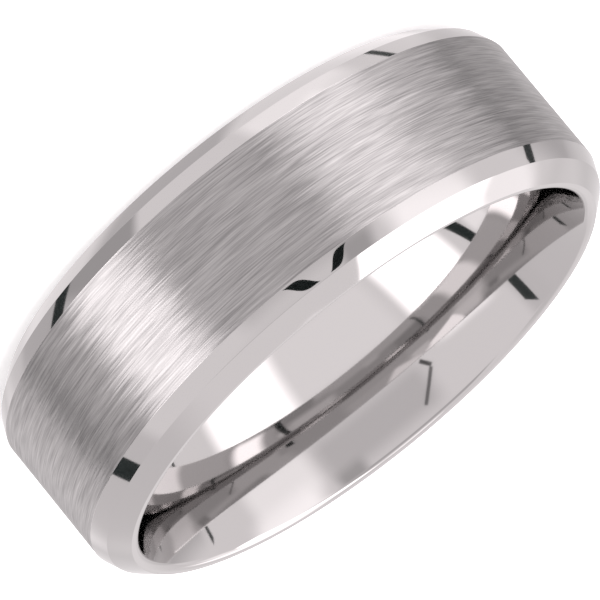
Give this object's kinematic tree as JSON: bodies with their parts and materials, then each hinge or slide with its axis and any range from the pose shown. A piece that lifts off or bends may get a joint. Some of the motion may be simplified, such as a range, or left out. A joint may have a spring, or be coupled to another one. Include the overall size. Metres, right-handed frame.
{
  "type": "wedding band",
  "caption": "One-piece metal finger ring with a flat satin centre, two polished bevels along each edge and a polished comfort-fit bore.",
  "frame": {"origin": "middle of the finger hole, half way through the band's width", "axes": "+Z along the finger axis; the band lies on its -Z side face; X and Y lie in the plane of the ring"},
  "size_m": [0.0244, 0.0244, 0.008],
  "materials": {
    "band_metal": "white metal: satin centre brushed round the ring, mirror-polished bevels, side faces and bore"
  },
  "bodies": {
    "root": {"band": "band_metal"}
  },
  "joints": []
}
